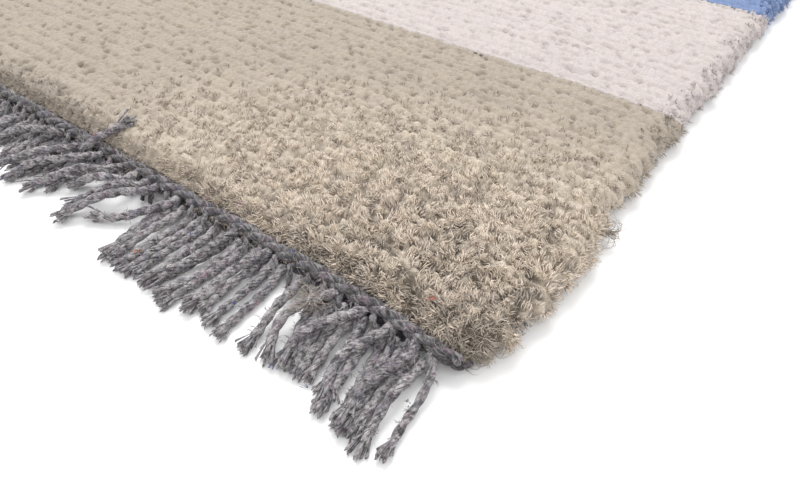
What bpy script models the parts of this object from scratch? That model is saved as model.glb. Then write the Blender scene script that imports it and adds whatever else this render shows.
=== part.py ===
"""A hand-knotted wool rug: a thick pile body, a heading cord across each end and a loose yarn fringe.

X runs across the rug, Y along its length and Z up from the surface it lies on. The origin is the
middle of its underside. The front end is at -Y.
"""

from collections import namedtuple
from math import cos, pi, radians, sin

import bmesh
import bpy
from mathutils import Vector

# Driving sizes, in metres
PILE_WIDTH = 0.600
PILE_LENGTH = 0.900
LEDGE_LENGTH = 0.011  # flat-woven strip past the pile at each end
GROUND_THICKNESS = 0.005  # woven ground under the pile
PILE_TOP = 0.022

GAP = 0.0003  # between one piece and the next
CORD_DIAMETER = 0.0065
CORD_INSET = 0.0005  # the cord's middle, back from the edge of the ledge
CORD_END = 0.019  # the cord stops this far inside the side of the pile
CORD_POINTS = 41
CORD_WAVER = 0.0003
CORD_WAVE_PITCH = 0.06

STRAND_WIDTH = 0.0062
FRINGE_LENGTH = 0.060  # from the edge of the ledge to a tip of factor 1
FRINGE_THICKNESS = 0.005
SPINE_LENGTH = 0.005  # unslit strip that joins the bunches
SLIT_WIDTH = 0.0006  # least width between two bunches, at the spine

# The long sides swell between the turns of the weft, the ends only waver
SCALLOP_PITCH = 0.024
SCALLOP_DEPTH = 0.0014
SCALLOPS = round(PILE_LENGTH / SCALLOP_PITCH)
STEPS_A_SCALLOP = 4
END_WAVE_PITCH = 0.037
END_WAVE_DEPTH = 0.0007
END_STEPS = 32
CORNER_STEPS = 5

# The weaving is a little longer along its sides, so the ends bow out towards the corners
BOW_DEPTH = 0.0065
BOW_START = 0.160  # the bow begins this far from the middle of the width
BOW_FADE = 0.200  # and dies away from here to the middle of the length

# One row for each level of the body, bottom to top. The outsets are measured from the nominal
# pile size, the corner is the radius of the plan's corner and the swell scales the scallops.
Level = namedtuple("Level", "height side_outset end_outset corner swell")
BODY_LEVELS = (
    Level(0.0000, -0.0055, LEDGE_LENGTH, 0.014, 0.0),
    Level(GROUND_THICKNESS, -0.0050, LEDGE_LENGTH, 0.014, 0.0),
    Level(GROUND_THICKNESS + 0.0004, -0.0048, 0.0000, 0.014, 0.3),
    Level(0.0090, 0.0000, 0.0035, 0.016, 1.0),
    Level(0.0140, 0.0020, 0.0045, 0.017, 1.0),
    Level(0.0180, 0.0012, 0.0030, 0.017, 0.9),
    Level(0.0208, -0.0015, -0.0005, 0.016, 0.7),
    Level(PILE_TOP, -0.0060, -0.0050, 0.014, 0.4),
)

# One row for each bunch of fringe, from +X to -X. The gap is the free width before it at the
# spine, the length scales FRINGE_LENGTH, and the shifts are how far the bunch's two edges swing
# towards +X by its tips.
Bunch = namedtuple("Bunch", "strands gap length right_shift left_shift")
FRONT_BUNCHES = (
    Bunch(1, 0.000, 1.00, 0.009, 0.009),
    Bunch(12, 0.001, 0.96, 0.003, 0.016),
    Bunch(1, 0.005, 0.90, 0.008, 0.008),
    Bunch(1, 0.007, 0.88, 0.005, 0.005),
    Bunch(3, 0.001, 0.84, 0.002, -0.003),
    Bunch(3, 0.001, 0.90, -0.004, -0.006),
    Bunch(4, 0.006, 0.88, -0.001, -0.003),
    Bunch(3, 0.003, 0.86, -0.001, 0.006),
    Bunch(5, 0.002, 0.85, -0.028, -0.022),
    Bunch(5, 0.001, 0.74, -0.022, -0.012),
    Bunch(5, 0.001, 0.78, -0.0135, -0.004),
    Bunch(6, 0.002, 0.83, -0.003, 0.004),
    Bunch(5, 0.001, 0.92, 0.003, -0.006),
    Bunch(9, 0.003, 0.97, -0.004, 0.004),
    Bunch(2, 0.002, 0.86, 0.003, 0.002),
    Bunch(11, 0.001, 0.95, 0.002, 0.009),
    Bunch(8, 0.004, 0.91, -0.003, -0.006),
)
BACK_BUNCHES = (
    Bunch(10, 0.000, 0.95, 0.005, 0.010),
    Bunch(11, 0.004, 1.00, 0.001, 0.004),
    Bunch(2, 0.002, 0.85, 0.003, 0.001),
    Bunch(10, 0.003, 0.92, -0.003, 0.005),
    Bunch(12, 0.001, 0.98, 0.003, 0.002),
    Bunch(1, 0.004, 0.90, -0.002, -0.002),
    Bunch(8, 0.005, 0.94, -0.001, 0.006),
    Bunch(3, 0.001, 0.80, 0.003, 0.000),
    Bunch(9, 0.002, 0.91, -0.003, -0.001),
    Bunch(10, 0.003, 1.00, -0.002, 0.003),
    Bunch(10, 0.002, 0.93, 0.001, -0.004),
)
FRONT, BACK = -1, 1  # which way an end faces along Y

LEDGE_EDGE = PILE_LENGTH / 2 + LEDGE_LENGTH

Colour = namedtuple("Colour", "name rgb roughness")
TAUPE_WOOL = Colour("taupe_wool", (0.43, 0.36, 0.29), 0.95)
GREY_CORD_YARN = Colour("grey_cord_yarn", (0.17, 0.16, 0.165), 0.9)
GREY_FRINGE_YARN = Colour("grey_fringe_yarn", (0.21, 0.19, 0.20), 0.9)


def clear_scene():
    for obj in list(bpy.data.objects):
        bpy.data.objects.remove(obj)


def make_material(colour, name):
    material = bpy.data.materials.new(f"{name}_{colour.name}")
    material.use_nodes = True
    shader = material.node_tree.nodes["Principled BSDF"]
    shader.inputs["Base Color"].default_value = (*colour.rgb, 1.0)
    shader.inputs["Roughness"].default_value = colour.roughness
    shader.inputs["Metallic"].default_value = 0.0
    material.diffuse_color = (*colour.rgb, 1.0)
    return material


def add_part(name, mesh, colour, collection):
    mesh.name = name
    mesh.shade_smooth()
    mesh.set_sharp_from_angle(angle=radians(40))
    mesh.materials.append(make_material(colour, name))
    part = bpy.data.objects.new(name, mesh)
    collection.objects.link(part)
    return part


def uneven(distance, pitch):
    """A wave of about the given pitch that never quite repeats, from -1 to 1."""
    turn = 2 * pi * distance / pitch
    return 0.62 * sin(turn) + 0.24 * sin(0.617 * turn + 1.3) + 0.14 * sin(1.731 * turn + 0.4)


def bowed(x, y):
    """The y at which a point of the straight plan lies in the bowed one."""
    reach = max(0.0, abs(x) - BOW_START) / (PILE_WIDTH / 2 - BOW_START)
    return y + BOW_DEPTH * reach**2 * max(-1.0, min(1.0, y / BOW_FADE))


def plan_ring(level):
    """The rug's outline at one level, anticlockwise from above, with its swells and wavers."""
    half_x = PILE_WIDTH / 2 + level.side_outset - level.corner
    half_y = PILE_LENGTH / 2 + level.end_outset - level.corner
    centres = [Vector((x * half_x, y * half_y)) for x, y in ((1, 1), (-1, 1), (-1, -1), (1, -1))]
    ring = []
    for quarter, centre in enumerate(centres):
        for step in range(CORNER_STEPS):
            angle = pi / 2 * (quarter + step / CORNER_STEPS)
            ring.append(centre + level.corner * Vector((cos(angle), sin(angle))))
        angle = pi / 2 * (quarter + 1)
        out = Vector((cos(angle), sin(angle)))
        along_end = quarter % 2 == 0
        steps = END_STEPS if along_end else SCALLOPS * STEPS_A_SCALLOP
        for step in range(steps):
            point = centre.lerp(centres[(quarter + 1) % 4], step / steps) + out * level.corner
            if along_end:
                swell = END_WAVE_DEPTH * uneven(point.x + quarter, END_WAVE_PITCH)
            else:
                swell = SCALLOP_DEPTH * uneven(point.y + quarter, SCALLOP_PITCH)
            ring.append(point + out * swell * level.swell)
    return [Vector((p.x, bowed(p.x, p.y), level.height)) for p in ring]


def rug_body(collection):
    """Ground, end ledges and pile as one cloth, lofted through its levels."""
    bm = bmesh.new()
    rings = [[bm.verts.new(p) for p in plan_ring(level)] for level in BODY_LEVELS]
    count = len(rings[0])
    for lower, upper in zip(rings, rings[1:]):
        for i in range(count):
            j = (i + 1) % count
            bm.faces.new((lower[i], lower[j], upper[j], upper[i]))
    bm.faces.new(reversed(rings[0]))
    bm.faces.new(rings[-1])
    bmesh.ops.recalc_face_normals(bm, faces=bm.faces)
    mesh = bpy.data.meshes.new("pile_rug_body")
    bm.to_mesh(mesh)
    bm.free()
    return add_part("pile_rug_body", mesh, TAUPE_WOOL, collection)


def welded_mesh(curve_object):
    """The curve's evaluated mesh with its loose caps joined. The curve is removed."""
    depsgraph = bpy.context.evaluated_depsgraph_get()
    mesh = bpy.data.meshes.new_from_object(curve_object.evaluated_get(depsgraph))
    bpy.data.objects.remove(curve_object)
    bm = bmesh.new()
    bm.from_mesh(mesh)
    bmesh.ops.remove_doubles(bm, verts=bm.verts, dist=0.00001)
    bmesh.ops.recalc_face_normals(bm, faces=bm.faces)
    bm.to_mesh(mesh)
    bm.free()
    return mesh


def poly_curve(name, points, cyclic, collection):
    curve = bpy.data.curves.new(name, "CURVE")
    spline = curve.splines.new("POLY")
    spline.points.add(len(points) - 1)
    for target, point in zip(spline.points, points):
        target.co = (*point, 1.0)
    spline.use_cyclic_u = cyclic
    guide = bpy.data.objects.new(f"{name}_guide", curve)
    collection.objects.link(guide)
    return guide


def heading_cord(name, facing, collection):
    """A thick twined cord laid across the end, on the seam between the ledge and the fringe."""
    half = PILE_WIDTH / 2 - CORD_END
    rest = GROUND_THICKNESS + GAP + CORD_DIAMETER / 2
    points = []
    for i in range(CORD_POINTS):
        x = -half + 2 * half * i / (CORD_POINTS - 1)
        sway = CORD_WAVER * uneven(x, CORD_WAVE_PITCH)
        lift = CORD_WAVER * (1 + uneven(x + facing, CORD_WAVE_PITCH))
        y = bowed(x, facing * (LEDGE_EDGE - CORD_INSET + sway))
        points.append((x, y, rest + lift))
    guide = poly_curve(name, points, False, collection)
    guide.data.dimensions = "3D"
    guide.data.bevel_depth = CORD_DIAMETER / 2
    guide.data.bevel_resolution = 2
    guide.data.use_fill_caps = True
    return add_part(name, welded_mesh(guide), GREY_CORD_YARN, collection)


def bunch_outline(bunch, right, left):
    """One tooth of the comb, from its right root to its left root, with y as the distance out."""
    spine = GAP + SPINE_LENGTH
    tip = bunch.length * FRINGE_LENGTH
    tip_right = right + bunch.right_shift
    tip_left = left + bunch.left_shift
    rounding = min(0.0035, (tip_right - tip_left) * 0.3)
    return [
        (right, spine),
        (tip_right, tip - rounding),
        (tip_right - rounding * 0.7, tip - rounding * 0.2),
        ((tip_right + tip_left) / 2, tip),
        (tip_left + rounding * 0.8, tip - rounding * 0.3),
        (tip_left, tip - rounding * 1.3),
        (left, spine),
    ]


def fringe_comb(name, facing, bunches, collection):
    """The whole fringe of one end: a spine beside the ledge and a tooth for each bunch."""
    width = sum(bunch.gap + bunch.strands * STRAND_WIDTH for bunch in bunches)
    right = width / 2
    outline = [(right, GAP)]
    for bunch in bunches:
        right -= max(bunch.gap, SLIT_WIDTH)
        left = right - bunch.strands * STRAND_WIDTH
        outline += bunch_outline(bunch, right, left)
        right = left
    outline.append((right, GAP))
    points = [(x, bowed(x, facing * (LEDGE_EDGE + out)), 0.0) for x, out in outline]
    guide = poly_curve(name, points, True, collection)
    guide.data.dimensions = "2D"
    guide.data.fill_mode = "BOTH"
    guide.data.extrude = FRINGE_THICKNESS / 2
    mesh = welded_mesh(guide)
    for vertex in mesh.vertices:
        vertex.co.z += FRINGE_THICKNESS / 2
    return add_part(name, mesh, GREY_FRINGE_YARN, collection)


def main():
    clear_scene()
    rug = bpy.data.collections.new("nepalese_rug")
    bpy.context.scene.collection.children.link(rug)
    rug_body(rug)
    heading_cord("heading_cord_front", FRONT, rug)
    heading_cord("heading_cord_back", BACK, rug)
    fringe_comb("fringe_front", FRONT, FRONT_BUNCHES, rug)
    fringe_comb("fringe_back", BACK, BACK_BUNCHES, rug)


main()
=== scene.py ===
from math import cos, hypot, pi, radians, sin, sqrt

import bpy
import numpy as np
from mathutils import Matrix, Vector, kdtree, noise


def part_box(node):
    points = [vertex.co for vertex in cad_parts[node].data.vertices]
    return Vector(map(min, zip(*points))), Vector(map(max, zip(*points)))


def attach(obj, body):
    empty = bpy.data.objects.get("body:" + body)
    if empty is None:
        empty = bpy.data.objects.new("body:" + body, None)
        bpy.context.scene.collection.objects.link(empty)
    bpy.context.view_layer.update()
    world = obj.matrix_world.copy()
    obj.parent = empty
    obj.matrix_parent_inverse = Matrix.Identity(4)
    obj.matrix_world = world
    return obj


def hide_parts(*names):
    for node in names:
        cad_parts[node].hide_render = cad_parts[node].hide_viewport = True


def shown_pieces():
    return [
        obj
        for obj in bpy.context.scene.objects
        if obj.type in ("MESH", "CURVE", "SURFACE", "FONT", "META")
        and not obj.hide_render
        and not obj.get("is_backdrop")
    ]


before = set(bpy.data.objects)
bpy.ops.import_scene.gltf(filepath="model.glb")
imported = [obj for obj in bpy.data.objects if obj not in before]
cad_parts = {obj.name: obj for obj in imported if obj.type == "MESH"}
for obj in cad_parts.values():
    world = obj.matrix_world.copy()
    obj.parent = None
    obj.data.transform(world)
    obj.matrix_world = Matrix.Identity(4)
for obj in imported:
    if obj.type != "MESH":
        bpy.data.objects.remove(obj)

noise.seed_set(5)  # noise_vector starts from the clock without it
seeded = np.random.default_rng

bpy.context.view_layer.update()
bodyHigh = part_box("pile_rug_body")[1]
scene = bpy.context.scene

# X runs across the rug and Y along it, and the front end is at -Y
front, back = -1, 1
halfWidth = round(bodyHigh.x - 0.0034, 3)  # of the pile, before its sides swell
halfLength = round(bodyHigh.y - 0.0159, 3)  # the ledge and the bow lie past it
plan = {
    "ledge": 0.011,  # flat weaving past the pile at each end
    "ground": 0.005,
    "groundInset": 0.0055,
    "corner": 0.014,
    "scallop": 0.024,  # from one side swell to the next
    "bowDepth": 0.0065,  # the ends bow out towards the corners
    "bowStart": 0.160,
    "bowFade": 0.200,
}
ledgeEdge = halfLength + plan["ledge"]


def bowed(x, y):
    reach = max(0.0, abs(x) - plan["bowStart"]) / (halfWidth - plan["bowStart"])
    return y + plan["bowDepth"] * reach**2 * max(-1.0, min(1.0, y / plan["bowFade"]))


def uneven(distance, pitch):
    # a wave of about that pitch which never quite repeats, from -1 to 1
    turn = 2 * pi * distance / pitch
    return 0.62 * sin(turn) + 0.24 * sin(0.617 * turn + 1.3) + 0.14 * sin(1.731 * turn + 0.4)


def smooth(value, start, end):
    t = max(0.0, min(1.0, (value - start) / (end - start)))
    return t * t * (3 - 2 * t)


def spaced(start, stop, count):
    return [start + (stop - start) * i / count for i in range(count + 1)]


def operator(operation, swapped=False):
    # a method that adds a Math node, with its two values swapped for the reflected forms
    def made(self, other):
        return self.math(operation, *((other, self) if swapped else (self, other)))
    return made


class Wire:
    # one output socket of a node tree
    def __init__(self, graph, socket):
        self.graph = graph
        self.socket = socket

    def math(self, operation, *values):
        return self.graph.node("ShaderNodeMath", dict(enumerate(values)), operation=operation)

    __add__ = operator("ADD")
    __radd__ = operator("ADD", True)
    __sub__ = operator("SUBTRACT")
    __rsub__ = operator("SUBTRACT", True)
    __mul__ = operator("MULTIPLY")
    __rmul__ = operator("MULTIPLY", True)
    __truediv__ = operator("DIVIDE")
    __pow__ = operator("POWER")
    over = operator("GREATER_THAN")

    def out(self, name):
        return Wire(self.graph, self.socket.node.outputs[name])


class Graph:
    def __init__(self, tree):
        self.tree = tree

    def node(self, kind, values=None, **settings):
        made = self.tree.nodes.new(kind)
        for key, value in settings.items():
            setattr(made, key, value)
        for key, value in (values or {}).items():
            named = (s for s in made.inputs if s.name == key and s.enabled)
            self.put(made.inputs[key] if isinstance(key, int) else next(named), value)
        shown = [s for s in made.outputs if s.enabled]
        return Wire(self, shown[0]) if shown else None

    def put(self, socket, value):
        for each in value if isinstance(value, list) else [value]:
            if isinstance(each, Wire):
                self.tree.links.new(each.socket, socket)
            else:
                socket.default_value = each

    def vector(self, operation, *values, **more):
        values = {**dict(enumerate(values)), **more}
        return self.node("ShaderNodeVectorMath", values, operation=operation)

    def between(self, value, low, high, start, end):
        # value brought from start and end to low and high, and held between them
        return self.node("ShaderNodeMapRange", {
            "Value": value, "From Min": start, "From Max": end, "To Min": low, "To Max": high,
        })

    def blend(self, factor, one, other, way="MIX"):
        values = {"Factor": factor, "A": one, "B": other}
        return self.node("ShaderNodeMix", values, data_type="RGBA", blend_type=way)

    def attribute(self, name):
        return self.node("ShaderNodeAttribute", attribute_name=name).out("Fac")

    def grain(self, scale, detail, rough, vector):
        return self.node("ShaderNodeTexNoise", {
            "Vector": vector, "Scale": scale, "Detail": detail, "Roughness": rough,
        })

    # from here on for geometry trees

    def moved(self, geometry, offset):
        return self.node("GeometryNodeSetPosition", {"Geometry": geometry, "Offset": offset})

    def named(self, key, kind="FLOAT"):
        return self.node("GeometryNodeInputNamedAttribute", {"Name": key}, data_type=kind)

    def keep(self, geometry, key, value, kind="FLOAT", domain="POINT"):
        values = {"Geometry": geometry, "Name": key, "Value": value}
        return self.node("GeometryNodeStoreNamedAttribute", values, data_type=kind, domain=domain)

    def chance(self, low, high, offset, kind="FLOAT"):
        # each use has its own offset from the tree's seed
        values = {"Min": low, "Max": high, "Seed": self.given("Seed") + offset}
        return self.node("FunctionNodeRandomValue", values, data_type=kind)

    def about(self, spread, offset):
        return self.chance(1 - spread, 1 + spread, offset)


def newMaterial(name, constants):
    material = bpy.data.materials.new(name)
    material.use_nodes = True
    shader = material.node_tree.nodes["Principled BSDF"]
    for key, value in constants.items():
        shader.inputs[key].default_value = value
    return material, Graph(material.node_tree), shader


def dress(graph, shader, wool, light, blue, bump, height):
    # the wool's colour made lighter and darker by its fibres and, in the pile, by painted light and shade,
    # with their relief
    grey = graph.node("ShaderNodeCombineColor", {"Red": light, "Green": light, "Blue": blue})
    graph.put(shader.inputs["Base Color"], graph.blend(1.0, wool, grey, "MULTIPLY"))
    graph.put(shader.inputs["Normal"], graph.node("ShaderNodeBump", {**bump, "Height": height}))


woolShader = {
    "Roughness": 0.95,
    "Specular IOR Level": 0.15,
    "Sheen Weight": 0.30,
    "Sheen Roughness": 0.5,
}


woolLook = {
    "fibreGrain": 1500.0,
    "tuftGrain": 560.0,
    "cloudGrain": 55.0,
    "warmGrain": 90.0,
    "warm": (1.0, 0.99, 0.955),  # tint of the warmer patches
    "rootShadeEnd": 0.30,  # below this rise the wool has the painted shade of its roots
    "rootShadeNear": 0.22,  # more of it where the wool is loose
    "tipStart": 0.95,  # above this rise it has the colour of its tips
    "tipWorn": 0.25,
    "fibre": 0.45,
    "fibreNear": 1.25,
    "tuft": 0.40,
    "cloud": 0.14,
    "tone": 0.08,  # from one lock to the next
    "lock": 0.08,  # painted light: how much lighter free locks are made, as their upright sides get less light
    "lockWorn": 0.13,
    # painted light: the worn, loose wool made lighter against the shade its locks cast on each other
    "worn": (1.2, 2.35, 1.85),
    # painted shade on the packed wool of the worn corner
    "wornBaseShade": 0.22,
    # painted shade in the gaps between the worn wool's clumps
    "gap": 0.40,
    "bump": {"Strength": 0.8, "Distance": 0.0012},
}


def pileWool(name, colour, shade):
    # colour is that of the tips, and shade is the painted shade at the roots, low in the pile
    material, graph, shader = newMaterial(name, woolShader)
    look = woolLook
    places = graph.node("ShaderNodeTexCoord").out("Object")
    upright = graph.node("ShaderNodeMapping", {"Vector": places, "Scale": (1.0, 1.0, 0.3)})
    fibre = graph.grain(look["fibreGrain"], 3.0, 0.65, upright)
    tuft = graph.grain(look["tuftGrain"], 2.0, 0.6, places)
    cloud = graph.grain(look["cloudGrain"], 2.0, 0.5, places)
    warmth = graph.grain(look["warmGrain"], 1.0, 0.5, graph.vector("ADD", places, (2.0, 3.0, 4.0)))
    marks = ("rise", "tone", "wisp", "near", "worn", "free", "gap")
    rise, tone, wisp, near, worn, free, gap = [graph.attribute(mark) for mark in marks]
    packed = 1 - free
    # painted shade: the wool fades from its tip colour to the darker root colour low in the pile and in its
    # hollows
    shadedBelow = look["rootShadeEnd"] + look["rootShadeNear"] * near * (1 - worn * 0.3)
    height = graph.between(rise, 0.0, 1.0, shadedBelow, look["tipStart"] - look["tipWorn"] * worn)
    warm = tuple(c * w for c, w in zip(colour, look["warm"]))
    tips = graph.blend(graph.between(warmth, 0.0, 1.0, 0.35, 0.65), (*colour, 1.0), (*warm, 1.0))
    wool = graph.blend(height, (*shade, 1.0), tips)
    light = 1 + (fibre - 0.5) * (look["fibre"] + look["fibreNear"] * near * packed)
    light = light + (cloud - 0.5) * look["cloud"] + (tuft - 0.5) * look["tuft"] * packed
    light = light + (tone + wisp) * look["tone"] * (0.3 + 0.9 * near)
    power, most, less = look["worn"]
    # painted light: free locks made lighter, and a touch more in blue
    light = light * (1 + free * (look["lock"] + look["lockWorn"] * worn))
    # painted light: the worn, loose wool made lighter
    light = light * (1 + worn**power * (most - less * worn))
    # painted shade: the worn corner's packed wool and the gaps between its clumps darkened
    light = light * (1 - look["wornBaseShade"] * worn * packed) * (1 - look["gap"] * gap)
    blue = light * (0.985 + 0.035 * free) + 0.01
    dress(graph, shader, wool, light, blue, look["bump"], fibre * 0.6 + tuft)
    return material


def newMesh(name, vertices, faces, values=None, edges=()):
    # values holds number or vector attributes, one for each vertex
    mesh = bpy.data.meshes.new(name)
    mesh.from_pydata([tuple(v) for v in vertices], edges, faces)
    for key, numbers in (values or {}).items():
        numbers = np.asarray(numbers, dtype=np.float32)
        kind, field = ("FLOAT_VECTOR", "vector") if numbers.ndim == 2 else ("FLOAT", "value")
        mesh.attributes.new(key, kind, "POINT").data.foreach_set(field, numbers.ravel())
    return mesh


def newObject(name, data):
    made = bpy.data.objects.new(name, data)
    scene.collection.objects.link(made)
    return made


def newPiece(name, mesh):
    # smooth, apart from the caps at its ends
    for polygon in mesh.polygons:
        polygon.use_smooth = len(polygon.vertices) < 9
    return newObject(name, mesh)


def onwards(ring):
    return ring[1:] + ring[:1]


def closedRings(rings, bottom=None, top=None):
    # faces through rings of vertex numbers; an end closes at its own vertex, or else with a cap
    first, last = rings[0], rings[-1]
    faces = []
    for lower, upper in zip(rings, rings[1:]):
        faces += zip(lower, onwards(lower), onwards(upper), upper)
    if bottom is None:
        faces.append(tuple(reversed(first)))
    else:
        faces += [(bottom, after, here) for here, after in zip(first, onwards(first))]
    if top is None:
        faces.append(tuple(last))
    else:
        faces += [(here, after, top) for here, after in zip(last, onwards(last))]
    return faces


# the few shapes that the pile repeats
lock = {
    "length": 0.0074,
    "kinds": 12,
    "wisps": 5,
    "thickness": 0.00032,  # radius of one wisp
}


def sideways(rng, size):
    return Vector((rng.normal(0, size), rng.normal(0, size), 0))


def addSpindle(vertices, faces, foot, head, middle, radius, sides, rng, shoulder):
    # a closed lock of wool, pointed at both ends and thickest at its shoulder
    rough = 0.2
    start = len(vertices)
    axis = (head - foot).normalized()
    side = axis.orthogonal().normalized()
    turn = rng.uniform(0, 2 * pi)
    centre = foot.lerp(head, shoulder) + middle
    vertices.append(foot)
    for i in range(sides):
        around = Matrix.Rotation(turn + 2 * pi * i / sides, 3, axis) @ side
        reach = radius * (1 + rng.uniform(-rough, rough))
        vertices.append(centre + around * reach + axis * rng.uniform(-rough, rough) * radius)
    vertices.append(head)
    faces += closedRings([list(range(start + 1, start + 1 + sides))], start, start + 1 + sides)


def outwardOf(rng, i, count, jitter):
    # the direction of one of count wisps round a root
    angle = 2 * pi * (i + rng.uniform(-jitter, jitter)) / count
    return Vector((cos(angle), sin(angle), 0))


def lockTemplate(number):
    # a few wisps that leave one root and part towards their tips
    rng = seeded(100 + number)
    vertices, faces, tones = [], [], []
    long, wisps = lock["length"], lock["wisps"]
    sweep = sideways(rng, 0.0012)
    for i in range(wisps):
        out = outwardOf(rng, i, wisps, 0.45)
        foot = out * rng.uniform(0.0002, 0.0009) + Vector((0, 0, long * rng.uniform(0.0, 0.1)))
        head = out * rng.uniform(0.0005, 0.0024) + sweep + Vector((0, 0, long * rng.uniform(0.72, 1.0)))
        bend = out * rng.uniform(-0.0003, 0.0008) - sweep * 0.3 + sideways(rng, 0.0004)
        radius = lock["thickness"] * rng.uniform(0.6, 1.6)
        addSpindle(vertices, faces, foot, head, bend, radius, 3, rng, 0.55)
        tones += [rng.uniform(-1, 1)] * 5
    # rise grows from the lock's root to its tip, so the wool gives each wisp painted shade towards its root
    rise = [0.60 + 0.40 * min(1.0, max(0.0, v.z / long)) for v in vertices]
    values = {"rise": rise, "wisp": tones, "free": [1.0] * len(vertices)}
    return newMesh(f"lock{number}", vertices, faces, values)


curl = {
    "length": 0.0120,
    "radius": 0.00014,
    "steps": 6,
    "kinds": 8,
}


def fibreTemplate(number):
    # one thin curled fibre
    rng = seeded(300 + number)
    steps = curl["steps"]
    point, way = Vector((0, 0, 0)), Vector((0, 0, 1))
    turn = rng.uniform(0.30, 0.95)
    axis = Vector((rng.uniform(-0.4, 0.4), 1, rng.uniform(-0.5, 0.5)))
    bend = Matrix.Rotation(turn, 3, axis.normalized())
    rings, vertices = [], []
    for step in range(steps):
        thin = curl["radius"] * (1 - 0.5 * step / steps)
        side = way.orthogonal().normalized()
        rings.append(list(range(3 * step, 3 * step + 3)))
        for i in range(3):
            vertices.append(point + Matrix.Rotation(2 * pi * i / 3, 3, way) @ side * thin)
        point = point + way * (curl["length"] / steps)
        way = (bend @ way).normalized()
    vertices.append(point)
    faces = closedRings(rings, None, len(vertices) - 1)
    count = len(vertices)
    return newMesh(f"fibre{number}", vertices, faces, {"rise": [0.85] * count, "free": [1.0] * count})


def downTemplate(number):
    # two or three short hairs
    rng = seeded(700 + number)
    vertices, faces = [], []
    for i in range(2 + number % 2):
        head = (sideways(rng, 0.5) + Vector((0, 0, 1))).normalized() * rng.uniform(0.0018, 0.0040)
        addSpindle(vertices, faces, Vector((0, 0, 0)), head, sideways(rng, 0.0003), 0.00017, 3, rng, 0.5)
    return newMesh(f"down{number}", vertices, faces, {"free": [1.0] * len(vertices)})


def shapes(name, template, kinds):
    # a collection of the kinds that a template gives
    holder = bpy.data.collections.new(name)
    for number in range(kinds):
        mesh = template(number)
        mesh.shade_smooth()
        holder.objects.link(bpy.data.objects.new(mesh.name, mesh))
    return holder


def newTree(name, inputs):
    # inputs holds the kind of each named input, and the first is the geometry
    tree = bpy.data.node_groups.new(name, "GeometryNodeTree")
    for label, kind in inputs.items():
        tree.interface.new_socket(label, in_out="INPUT", socket_type=f"NodeSocket{kind}")
    tree.interface.new_socket("Made", in_out="OUTPUT", socket_type="NodeSocketGeometry")
    graph = Graph(tree)
    graph.given = graph.node("NodeGroupInput").out
    return graph, graph.given


def endTree(graph, geometry):
    # what would reach through the floor lies on it
    real = graph.node("GeometryNodeRealizeInstances", {"Geometry": geometry})
    raised = graph.vector("MAXIMUM", graph.node("GeometryNodeInputPosition"), (-9.0, -9.0, 0.0004))
    laid = graph.node("GeometryNodeSetPosition", {"Geometry": real, "Position": raised})
    wool = graph.given("Wool")
    dressed = graph.node("GeometryNodeSetMaterial", {"Geometry": laid, "Material": wool})
    graph.node("NodeGroupOutput", {"Made": dressed})
    return graph.tree


def setShapes(graph, seats, toward, size):
    # a shape from the collection on every seat, spun about its own axis and with its own tone
    aimed = graph.node("FunctionNodeAlignRotationToVector", {"Vector": toward}, axis="Z")
    spin = graph.node("FunctionNodeAxisAngleToRotation", {
        "Axis": (0.0, 0.0, 1.0), "Angle": graph.chance(0.0, 2 * pi, 1),
    })
    turned = graph.node("FunctionNodeRotateRotation", {"Rotation": aimed, "Rotate By": spin},
                        rotation_space="LOCAL")
    kinds = graph.node("GeometryNodeCollectionInfo", {
        "Collection": graph.given("Shapes"), "Separate Children": True, "Reset Children": True,
    })
    seated = graph.node("GeometryNodeInstanceOnPoints", {
        "Points": seats, "Instance": kinds, "Pick Instance": True,
        "Instance Index": graph.chance(0, 1000, 4, "INT"), "Rotation": turned, "Scale": size,
    })
    return endTree(graph, graph.keep(seated, "tone", graph.chance(-1.0, 1.0, 5), domain="INSTANCE"))


def plantingTree():
    # one shape on every seat, turned to the seat's direction
    graph, given = newTree("planting", {
        "Seats": "Geometry", "Shapes": "Collection", "Girth Spread": "Float", "Length Spread": "Float",
        "Seed": "Int", "Wool": "Material",
    })
    girth = graph.named("girth") * graph.about(given("Girth Spread"), 2)
    length = graph.named("reach") * graph.about(given("Length Spread"), 3)
    size = graph.node("ShaderNodeCombineXYZ", {"X": girth, "Y": girth, "Z": length})
    return setShapes(graph, given("Seats"), graph.named("direction", "FLOAT_VECTOR"), size)


def scatteringTree():
    # shapes scattered over a surface, each turned to the surface's own lean
    graph, given = newTree("scattering", {
        "Surface": "Geometry", "Shapes": "Collection", "Where": "String", "Density": "Float",
        "Length Far": "Float", "Tilt": "Float", "Length Spread": "Float", "Sink": "Float", "Seed": "Int",
        "Wool": "Material",
    })
    near = graph.named(given("Where"))
    outwards = graph.named("toward", "FLOAT_VECTOR")
    shown = graph.node("ShaderNodeSeparateXYZ", {"Vector": outwards}).out("Z").over(-0.35)
    points = graph.node("GeometryNodeDistributePointsOnFaces", {
        "Mesh": given("Surface"), "Density": given("Density") * near * shown * graph.named("crown"),
        "Seed": given("Seed"),
    })
    lean = graph.node("ShaderNodeTexNoise", {"Scale": 75.0, "Detail": 1.0}).out("Color")
    lean = graph.vector("SCALE", graph.vector("SUBTRACT", lean, (0.5, 0.5, 0.5)), Scale=3.2)
    loose = graph.chance((-1.0, -1.0, -0.6), (1.0, 1.0, 0.6), 7, "FLOAT_VECTOR")
    loose = graph.vector("SCALE", loose, Scale=given("Tilt") * (0.4 + 0.6 * near))
    toward = graph.vector("ADD", graph.vector("ADD", outwards, lean), loose)
    short = given("Length Far") + (1 - given("Length Far")) * near
    length = graph.about(given("Length Spread"), 3) * short
    size = graph.node("ShaderNodeCombineXYZ", {"X": 1.0, "Y": 1.0, "Z": length})
    sunk = graph.moved(points, graph.vector("SCALE", outwards, Scale=-1.0 * given("Sink")))
    return setShapes(graph, sunk, toward, size)


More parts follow.
